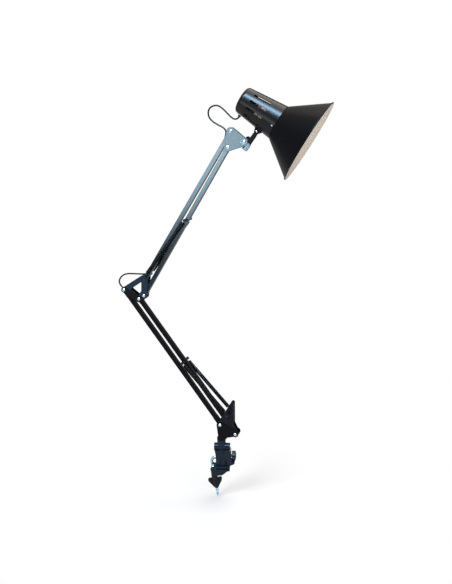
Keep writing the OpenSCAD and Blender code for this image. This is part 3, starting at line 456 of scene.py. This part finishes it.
# pairs are a length and its angle from level
linkage = {
    "base": (-1.5, 0, 95.5),
    "lowerBar": (348, 126.75),
    "elbow": (44.6, 0, -9.6),  # from the lower arm's left pivot to the upper arm's right one
    "elbowAcross": (33.8, 86.4),
    "upperBar": (350, 59.1),
    "headAcross": (30.7, 79.5),
}
pivots = {"baseLeft": at(*linkage["base"])}
pivots["elbowLeft"] = pivots["baseLeft"] + polar(*linkage["lowerBar"])
pivots["armRight"] = pivots["elbowLeft"] + at(*linkage["elbow"])
pivots["armLeft"] = pivots["armRight"] + polar(*linkage["elbowAcross"])
pivots["headLeft"] = (pivots["armRight"] + polar(*linkage["upperBar"])
                      + polar(*linkage["headAcross"]))
leftBar = (pivots["headLeft"] - pivots["armLeft"]).normalized()
lowerBar = (pivots["elbowLeft"] - pivots["baseLeft"]).normalized()

lamp = {
    "angle": 31.6,  # axis below level
    "turn": 2.4,  # about the post
    "post": 54.5,  # angle of the post
    "fromBack": 55.6,  # fork pivot from the housing's back
    "drop": 34.5,  # fork pivot below the axis
}
forkPivot = middle("fork_rivet")
# axis frame of the lamp: x from the housing's back to the rim, z its upper side
onShade = (Matrix.Translation(forkPivot)
           @ Matrix.Rotation(math.radians(lamp["turn"]), 4, polar(1000, lamp["post"]))
           @ Matrix.Rotation(math.radians(lamp["angle"]), 4, "Y")
           @ Matrix.Translation(at(-lamp["fromBack"], 0, lamp["drop"])))

# painted shade at the back of the lampholder, and a painted warm reflection above
finishes["holder"] = holderTwoTone("holder", {
    "axis": onShade.to_3x3() @ Vector((1, 0, 0)), "up": onShade.to_3x3() @ Vector((0, 0, 1)),
    "back": onShade.to_translation(), "pastShade": 36.0, "soot": (0.006, 0.005, 0.005),
    "above": (0.30, 0.12, 0.06), "below": (0.42, 0.36, 0.28)})

cord = {
    "width": 3.2,
    "sides": 20,
    "ring": 0.8,  # spacing of rings
    "inBar": 36,  # from a pivot to where a free stretch joins the run inside the bar
    "inset": 3.2,  # of a piece's end, measured in along its run
    "grommet": (12, 0, -30.13),  # mouth, in the lamp's frame
    "inGrommet": (8, 0, -1),  # heights above the mouth of the first points
    "swing": 10,  # points over which the loop leaves the grommet's plane
    "inLowerBar": 8,
    "straight": 6,  # length before the end in the upper bar
    "straightBelow": 2,  # the same in the lower bar
    # free stretches, given in the plane of the arms: x, z from the head's upper pivot
    "head": [(13.7, 23.7), (11.1, 22.3), (8, 22), (4, 23), (-1, 26.5), (-6.8, 32.1),
             (-14.6, 39.6), (-21.4, 44.6), (-26.5, 46.8), (-31.7, 47.1), (-37.8, 45.4),
             (-42.6, 41.6), (-45, 36), (-44.5, 28.8), (-40.8, 22.2), (-34, 16.4),
             (-25.4, 11.4), (-17.2, 7.4), (-12.2, 3.2), (-10.3, -2), (-11, -7.6),
             (-12.7, -13.6), (-15.2, -19.6)],
    "headCuts": (9, 15, 20),  # where a piece hands over to the next
    # and x, z from the elbow's left pivot
    "elbow": [(59.7, 46.1), (56.9, 41.3), (53.3, 37.5), (48.1, 35.5), (41.7, 34.9),
              (33.7, 34.7), (23.7, 34.5), (13.7, 34.3), (5.2, 33.3), (-2.1, 30.3),
              (-7.7, 25.5), (-11.1, 19.7), (-11.7, 14.1), (-9.5, 9.3), (-6.1, 5.3),
              (-2.3, 1.3)],
    "elbowCuts": (7,),
}


def cordChain(name, route, cuts, node):
    # a free stretch that crosses joints, cut at the given points into pieces end to end
    even, length = smoothRoute(route, cord["ring"] * mm)
    marks = [0, *(min(range(len(even)), key=lambda i: (even[i] - route[cut]).length)
                  for cut in cuts), len(even) - 1]
    for i, (first, last) in enumerate(zip(marks, marks[1:])):
        points, faces = tubeMesh(even, cord["width"] / 2 * mm, cord["sides"], first, last)
        piece = meshPiece(f"{name}{i + 1}", points, faces, "cordSheath", slot="rubber")
        still = (even[last] - even[first]).normalized() * cord["inset"] * mm
        even[first] + still
        even[last] - still
        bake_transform(piece)
        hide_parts(node)
        length * (last - first) / (len(even) - 1)
    print("cord", name, round(length, 4))


def fromPivot(pivot, offsets):
    return [pivots[pivot] + at(x, 0, z) for x, z in offsets]


mouth = at(*cord["grommet"])
headStart = [onShade @ (mouth + at(0, 0, step)) for step in cord["inGrommet"]]
headRun = fromPivot("headLeft", cord["head"])
for i, point in enumerate(headRun):  # the loop swings from the grommet into the plane of the arms
    point.y = headStart[1].y * max(0, 1 - i / cord["swing"])
headEnd = pivots["headLeft"] - leftBar * cord["inBar"] * mm
cordChain("headCord", headStart + headRun + [headEnd + leftBar * cord["straight"] * mm, headEnd],
          cord["headCuts"], "head_cord_loop")
elbowStart = pivots["armLeft"] + leftBar * cord["inBar"] * mm
elbowEnd = pivots["elbowLeft"] - lowerBar * cord["inLowerBar"] * mm
cordChain("elbowCord", [elbowStart, elbowStart - leftBar * cord["straight"] * mm]
          + fromPivot("elbowLeft", cord["elbow"])
          + [elbowEnd + lowerBar * cord["straightBelow"] * mm, elbowEnd],
          cord["elbowCuts"], "elbow_cord_loop")


print("stage: springs")

spring = {
    "outer": 8.4,
    "wire": 1.0,
    "depth": 15.0,  # of the axis, from the plane of the arms
    "pitch": 1.06,
    "first": 9.0,  # from the stud to the first turn
    "last": 6.0,  # from the last turn to the pin
    "eye": 2.8,
    "rings": 14,  # a turn
    "sides": 6,
    "eyeStep": 15,  # degrees
    "coilEye": (70, 280),
    "neck": ((0.45, -1.2), (0.8, 0)),  # share of the way to the first turn, height
    "neckStep": 0.35,
    "hookEye": (75, 285),
    "hook": ((4.6, -1.0), (6.6, -0.1), (9, 0)),  # from the pin, height
    "hookStep": 0.4,
}


def springFrame(start, end, side):
    # x runs from start to end, z up, at one side of the arms
    along = (end - start).normalized()
    away = Vector((0, 1, 0))
    up = along.cross(away)
    turned = Matrix((along, away, up)).transposed().to_4x4()
    return Matrix.Translation(start + at(0, side * spring["depth"], 0)) @ turned


def wirePiece(name, route, body, node):
    points, faces = tubeMesh(route, spring["wire"] / 2 * mm, spring["sides"])
    piece = meshPiece(name, points, faces, "springSteel", body, "spring_steel")
    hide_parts(node)


def eyeRoute(start, stop):
    return [at(spring["eye"] * math.cos(math.radians(a)), 0, spring["eye"] * math.sin(math.radians(a)))
            for a in range(start, stop + 1, spring["eyeStep"])]


def coil(name, start, end, side, body, node):
    # hook round the stud, neck, and close turns up to the far end
    length = (end - start).length / mm - spring["first"] - spring["last"]
    turns = round(length / spring["pitch"])
    radius = (spring["outer"] - spring["wire"]) / 2
    place = springFrame(start, end, side)
    neck = smoothRoute(eyeRoute(*spring["coilEye"])
                       + [at(spring["first"] * share, 0, z) for share, z in spring["neck"]],
                       spring["neckStep"] * mm)[0]
    count = turns * spring["rings"]
    helix = []
    for i in range(count + 1):
        turn = 2 * math.pi * i / spring["rings"]
        r = radius * min(1, (i + 2) / spring["rings"])
        helix.append(at(spring["first"] + length * i / count, r * math.sin(turn), r * math.cos(turn)))
    wirePiece(name, [place @ p for p in neck + helix], body, node)


def springHook(name, start, end, side, reach, body, node):
    # eye round the bar's pin and a straight wire that runs inside the turns
    place = springFrame(start, end, side)
    route = smoothRoute(eyeRoute(*spring["hookEye"]) + [at(x, 0, z) for x, z in spring["hook"]]
                        + [at(reach, 0, 0)], spring["hookStep"] * mm)[0]
    wirePiece(name, [place @ p for p in route], body, node)


springPins = {
    "lower": (middle("tab_studs"), middle("lower_spring_pin"), 28),
    "upper": (middle("elbow_studs"), middle("upper_spring_pin"), 40),
}
for arm, (stud, pin, reach) in springPins.items():
    for side, where in ((-1, "near"), (1, "far")):
        coil(f"{arm}Coil_{where}", stud, pin, side, f"{arm}_springs", f"{arm}_spring_{where}")
        springHook(f"{arm}Hook_{where}", pin, stud, side, reach, f"{arm}_hooks",
                   f"{arm}_spring_hooks")


print("stage: shade and housing")

housing = {
    "length": 82.0,
    "back": 24.5,  # radius near the back
    "neck": 32.5,  # radius where the shade meets it
    "edge": 6.0,  # round of the back edge
    "wall": 1.0,
    "hole": 8.0,  # radius, for the switch
    "vents": 12,
    "ventAt": 19.5,  # from the back to a slot's end
    "ventLength": 36.0,
    "ventWidth": 4.4,
    "across": 6,  # faces across a slot
    "between": 9,  # faces between slots
    "alongSlot": 12,  # faces along a slot
    "alongEnd": 8,  # and from a slot to either end
    "onBack": 3,  # across the back, and round its edge
    "onEdge": 8,
    "flatFrom": 1.5,  # from the round edge to the next row
    "edgeRound": 0.16,
    "edgeAngle": 50,
}


def housingRadius(x):
    share = (x - housing["edge"]) / (housing["length"] - housing["edge"])
    return housing["back"] + (housing["neck"] - housing["back"]) * share


def spread(a, b, steps):
    return [a + (b - a) * k / steps for k in range(steps)]


def housingSheet():
    # the vented tin: rows run from the back, columns round it, bent to the slots' round ends
    edge, half = housing["edge"], housing["ventWidth"] / 2
    back = [(0.0, r) for r in spread(housing["hole"], housing["back"] - edge, housing["onBack"])]
    back += arc((edge, housing["back"] - edge), edge, 180, 90, housing["onEdge"])
    slotStart, slotStop = housing["ventAt"], housing["ventAt"] + housing["ventLength"]
    sector = 2 * math.pi / housing["vents"]
    columns = []
    for vent in range(housing["vents"]):
        for k in range(housing["across"]):
            columns.append((vent, half * math.sin(math.pi * (k / housing["across"] - 0.5)), None))
        for k in range(housing["between"]):
            columns.append((vent, half, k / housing["between"]))
    points, faces = [], []
    for vent, u, outside in columns:
        arcIn = half - math.sqrt(max(half * half - u * u, 0)) if outside is None else half
        line = spread(edge + housing["flatFrom"], slotStart + arcIn, housing["alongEnd"])
        line += spread(slotStart + arcIn, slotStop - arcIn, housing["alongSlot"])
        line += spread(slotStop - arcIn, housing["length"], housing["alongEnd"]) + [housing["length"]]
        rows = back + [(x, housingRadius(x)) for x in line]
        for x, r in rows:
            lean = math.asin(u / r)
            turn = sector * (vent + 0.5) + (lean if outside is None
                                            else lean + (sector - 2 * lean) * outside)
            points.append(onShade @ at(x, -r * math.sin(turn), r * math.cos(turn)))
    firstOpen = len(back) + housing["alongEnd"]
    opened = range(firstOpen, firstOpen + housing["alongSlot"])
    tall = len(rows)
    for i, (_, _, outside) in enumerate(columns):
        j = (i + 1) % len(columns)
        for k in range(tall - 1):
            if outside is None and k in opened:
                continue
            faces.append((i * tall + k, i * tall + k + 1, j * tall + k + 1, j * tall + k))
    return points, faces


tin = meshPiece("housingTin", *housingSheet(), "satinEnamel", "lamp", "satin_black")
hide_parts("housing")
thick = tin.modifiers.new("sheet", "SOLIDIFY")
thick.thickness = housing["wall"] * mm
thick.offset = -1
crisp(tin, housing["edgeRound"], housing["edgeAngle"])

shade = {
    "rim": 82.0,  # radius
    "cone": 67.5,  # length
    "bead": 1.3,  # radius
    "sheet": 1.0,
    "lip": 8.0,  # length inside the housing
    "play": 0.1,  # between the lip and the housing
    "sides": 216,
    # from the housing's end and its radius there
    "step": ((0.15, -0.6), (0.25, 0.3), (0.7, 1.2), (1.4, 1.95)),
    "shoulder": (2.2, 2.6),
    "alongCone": 12,
    "onBead": 22,
    "beadTurn": (180, -125),  # from the cone's slope
    "creamFrom": 17,  # step of the bead where the inside's enamel starts
    "insideAt": (1, -1.3),  # from the shoulder: length, and sheets of depth
    "insideShort": 1.4,
    "sharpFrom": 32,
}


def shadeProfile():
    # closed outline: lip, shoulder, cone, rolled bead and back along the inside
    start, wall, play, count = housing["length"], shade["sheet"], shade["play"], shade["alongCone"]
    lipAt = start - shade["lip"]
    bead = (start + shade["cone"] - shade["bead"], shade["rim"] - shade["bead"])
    shoulder = (start + shade["shoulder"][0], housing["neck"] + shade["shoulder"][1])
    slope = math.degrees(math.atan2(bead[1] - shoulder[1], bead[0] - shoulder[0]))
    outside = [(lipAt, housingRadius(lipAt) - wall - play), (start - 2 * play, housing["neck"] - wall - play)]
    outside += [(start + x, housing["neck"] + r) for x, r in shade["step"]]
    outside += [(shoulder[0] + (bead[0] - shoulder[0]) * k / count,
                 shoulder[1] + (bead[1] - shoulder[1]) * k / count) for k in range(count)]
    turnFrom, turnTo = shade["beadTurn"]
    rolled = list(arc(bead, shade["bead"], slope + turnFrom, slope + turnTo, shade["onBead"]))
    on, depth = shade["insideAt"]
    inside = [(shoulder[0] + on + (bead[0] - shoulder[0] - shade["insideShort"]) * k / count,
               shoulder[1] + depth * wall + (bead[1] - shoulder[1]) * k / count)
              for k in range(count - 1, -1, -1)]
    inside += [(start + 2 * wall, housing["neck"] - 2 * wall),
               (lipAt, housingRadius(lipAt) - 2 * wall - play)]
    return outside + rolled + inside, len(outside) + shade["creamFrom"]


outline, turnover = shadeProfile()
cone = lathe("shadeCone", outline, shade["sides"], onShade, ["coneEnamelPaintedLight", "creamEnamel"],
             lambda k: k >= turnover, body="lamp", slot="satin_black")
cone.data.set_sharp_from_angle(angle=math.radians(shade["sharpFrom"]))
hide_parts("shade")


print("stage: clamp rod")

rod = {
    "turn": 12,  # of the clamp about the swivel
    "radius": 3.0,
    "foot": -19.2,  # where the threaded leg crosses the desk face
    "tilt": 9.5,
    "level": 18.0,  # height of the level leg
    "bend": 8.0,
    "below": 72.0,
    "start": -8.4,  # inner end of the level leg
    "threadTop": 3.0,
    "threadPitch": 1.0,
    "threadDepth": 0.36,
    "sides": 28,
    "rings": 8,  # a turn of the thread
    "fade": 12,  # rings over which the thread begins and ends
    "crest": 1.35,  # above 1 the ridge is flat on top
    "bendSteps": 14,
    "straight": 3,  # between the bend and the thread
}
onClamp = Matrix.Rotation(math.radians(rod["turn"]), 4, "Z")
onRod = (onClamp @ Matrix.Translation(at(rod["foot"], 0, 0))
         @ Matrix.Rotation(math.radians(-rod["tilt"]), 4, "Y"))
lean = math.radians(rod["tilt"])
bendAt = rod["foot"] + (rod["bend"] - (rod["level"] - rod["bend"]) * math.sin(lean)) / math.cos(lean)
bendRoute = [onClamp @ at(rod["start"], 0, rod["level"])]
bendRoute += [onClamp @ at(x, 0, z) for x, z in arc((bendAt, rod["level"] - rod["bend"]),
                                                    rod["bend"], 90, 180 + rod["tilt"],
                                                    rod["bendSteps"])]
bendRoute += [onRod @ at(0, 0, rod["threadTop"] + rod["straight"]), onRod @ at(0, 0, rod["threadTop"])]
bent = meshPiece("rodBend", *tubeMesh(bendRoute, rod["radius"] * mm, rod["sides"]),
                 "drawnSteel", "clamp", "nickel")
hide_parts("clamp_rod")


def threadMesh():
    # rings down the leg, their radius following the thread's ridge, which fades at both ends
    points, faces = [], []
    sides, pitch = rod["sides"], rod["threadPitch"]
    count = round((rod["threadTop"] + rod["below"]) / pitch * rod["rings"])
    for i in range(count + 1):
        z = rod["threadTop"] - (rod["threadTop"] + rod["below"]) * i / count
        full = min(1, i / rod["fade"], (count - i) / rod["fade"])
        for k in range(sides):
            phase = (z / pitch - k / sides) % 1
            ridge = min(1, rod["crest"] * (1 - abs(2 * phase - 1)))
            r = rod["radius"] - rod["threadDepth"] * (1 - ridge * full)
            turn = 2 * math.pi * k / sides
            points.append(onRod @ at(r * math.cos(turn), r * math.sin(turn), z))
    for i in range(count):
        for k in range(sides):
            a, b = i * sides + k, i * sides + (k + 1) % sides
            faces.append((a, a + sides, b + sides, b))
    faces.append(tuple(range(sides)))
    faces.append(tuple(count * sides + k for k in reversed(range(sides))))
    return points, faces


thread = meshPiece("rodThread", *threadMesh(), "drawnSteel", "clamp", "nickel")
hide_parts("clamp_rod")


print("stage: finishes on the solid pieces")

dressed = {
    "jetEnamel": ["base_bracket", "lower_left_bar", "lower_left_sleeves", "lower_right_bar",
                  "lower_right_sleeves", "shade_fork"],
    "slateEnamelPaintedLight": ["upper_left_bar", "upper_left_sleeves", "upper_right_bar",
                    "upper_right_sleeves"],
    "plateEnamelPaintedLight": ["head_bracket"],
    "elbowEnamelPaintedShade": ["elbow_plate_near", "elbow_plate_far"],
    "tabEnamel": ["spring_tab_near", "spring_tab_far"],
    "clampMoulding": ["clamp_body", "lower_jaw"],
    "blackMoulding": ["rod_knob", "hand_nut", "wing_nut", "post", "switch_body", "grommet",
                      "cord_outlet"],
    "cordSheath": ["upper_bar_cord", "lower_bar_cord"],
    "brightPlate": ["base_rivets", "head_rivets", "tilt_bolt", "fork_rivet", "housing_screws",
                    "grommet_clip", "post_clip", "bulb_cap"],
    "elbowPlate": ["elbow_rivets"],
    "blackenedSteel": ["tab_studs", "elbow_studs", "lower_spring_pin", "upper_spring_pin"],
    "zincCast": ["star_washer", "wing_washer", "knuckle", "socket_bracket"],
    "holder": ["socket_body", "socket_shell"],
    "opalGlass": ["bulb_globe"],
    "redButton": ["switch_button"],
}
weldReach = 1e-6  # metres
plainRound = 0.15
edgeRounds = {  # of the pieces that the plain round doesn't suit
    "clamp_body": 0.5, "lower_jaw": 0.5, "rod_knob": 0.35, "hand_nut": 0.4, "wing_nut": 0.4,
    "knuckle": 0.35, "upper_bar_cord": 0.0, "lower_bar_cord": 0.0, "star_washer": 0.08,
}
for finish, names in dressed.items():
    for name in names:
        piece = nodes[name]
        mesh = piece.data
        mesh.materials.clear()
        mesh.materials.append(finishes[finish])
        if "custom_normal" in mesh.attributes:
            mesh.attributes.remove(mesh.attributes["custom_normal"])
        mesh.polygons.foreach_set("use_smooth", [True] * len(mesh.polygons))
        weld = piece.modifiers.new("weld", "WELD")
        weld.merge_threshold = weldReach
        crisp(piece, edgeRounds.get(name, plainRound))


print("stage: floor and light")

studio = {
    "floor": -75.0,
    "floorReach": 30,  # metres each way
    "floorColour": (0.95, 0.95, 0.95),
    "fadeFrom": 0.08, "fadeTo": 0.34,  # metres from the clamp
    "ambient": 0.55,
    "lamps": {
        "windowLight": {"place": (-900, -1500, 1500), "aim": (-60, 0, 380), "size": (1.2, 1.2),
                        "watts": 26, "colour": (0.92, 0.96, 1.0), "matt": True, "gloss": False},
        "fillLight": {"place": (1500, -1100, 900), "aim": (0, 0, 380), "size": (1.4, 1.4),
                      "watts": 10, "colour": (1.0, 0.97, 0.94), "matt": True, "gloss": False},
        "topLight": {"place": (300, 300, 1900), "aim": (40, 0, 500), "size": (1.0, 1.0),
                     "watts": 12, "colour": (1.0, 0.93, 0.84), "matt": True, "gloss": True},
        # these two show in gloss only
        "bandGlint": {"place": (330, -800, 1800), "aim": (60, 0, 700), "size": (1.5, 0.4),
                      "watts": 120, "colour": (0.45, 0.72, 1.0), "matt": False, "gloss": True},
        "lowGlint": {"place": (-420, -1050, 620), "aim": (-120, 0, 500), "size": (0.5, 0.3),
                     "watts": 2.4, "colour": (0.72, 0.88, 1.0), "matt": False, "gloss": True},
    },
}
floorMesh = bpy.data.meshes.new("floor")
far = studio["floorReach"]
floorMesh.from_pydata([(-far, -far, 0), (far, -far, 0), (far, far, 0), (-far, far, 0)], [],
                      [(0, 1, 2, 3)])
floor = bpy.data.objects.new("floor", floorMesh)
floor.location.z = studio["floor"] * mm
bpy.context.scene.collection.objects.link(floor)


def backgroundRay(paint):
    # 1 for rays from the camera, a mirror or glass
    kinds = [paint.add("ShaderNodeLightPath", output=f"Is {kind} Ray")
             for kind in ("Camera", "Singular", "Transmission")]
    return paint.add("ShaderNodeMath", {"operation": "ADD", "use_clamp": True},
                     {0: kinds[0] + kinds[1], 1: kinds[2]})


def floorPaint():
    paint = Paint("floorPaint")
    where = paint.add("ShaderNodeTexCoord", output="Object")
    away = paint.add("ShaderNodeVectorMath", {"operation": "LENGTH"}, {0: where}, "Value")
    matt = paint.add("ShaderNodeBsdfPrincipled", {},
                     {"Base Color": (*studio["floorColour"], 1), "Roughness": 0.9,
                      "Specular IOR Level": 0.1})
    bright = paint.add("ShaderNodeEmission", {}, {"Color": (1, 1, 1, 1), "Strength": 1.0})
    share = paint.steps(away, studio["fadeFrom"], studio["fadeTo"]) * backgroundRay(paint)
    mixed = paint.add("ShaderNodeMixShader", {}, {0: share, 1: matt, 2: bright})
    paint.add("ShaderNodeOutputMaterial", {}, {"Surface": mixed})
    return paint.owner


floorMesh.materials.append(floorPaint())

world = bpy.data.worlds.new("studio")
sky = Paint("studio", world)
around = sky.add("ShaderNodeBackground", {}, {"Color": (0.95, 0.97, 1.0, 1),
                                              "Strength": studio["ambient"]})
white = sky.add("ShaderNodeBackground", {}, {"Color": (1, 1, 1, 1), "Strength": 1.0})
seen = sky.add("ShaderNodeMixShader", {}, {0: backgroundRay(sky), 1: around, 2: white})
sky.add("ShaderNodeOutputWorld", {}, {"Surface": seen})
bpy.context.scene.world = world

for name, lit in studio["lamps"].items():
    data = bpy.data.lights.new(name, "AREA")
    data.shape = "RECTANGLE"
    data.size, data.size_y = lit["size"]
    data.energy = lit["watts"]
    data.color = lit["colour"]
    light = bpy.data.objects.new(name, data)
    light.location = at(*lit["place"])
    light.rotation_euler = (at(*lit["aim"]) - light.location).to_track_quat("-Z", "Y").to_euler()
    light.visible_camera = False
    light.visible_diffuse = lit["matt"]
    light.visible_glossy = lit["gloss"]
    bpy.context.scene.collection.objects.link(light)

bpy.context.scene.view_settings.view_transform = "Standard"
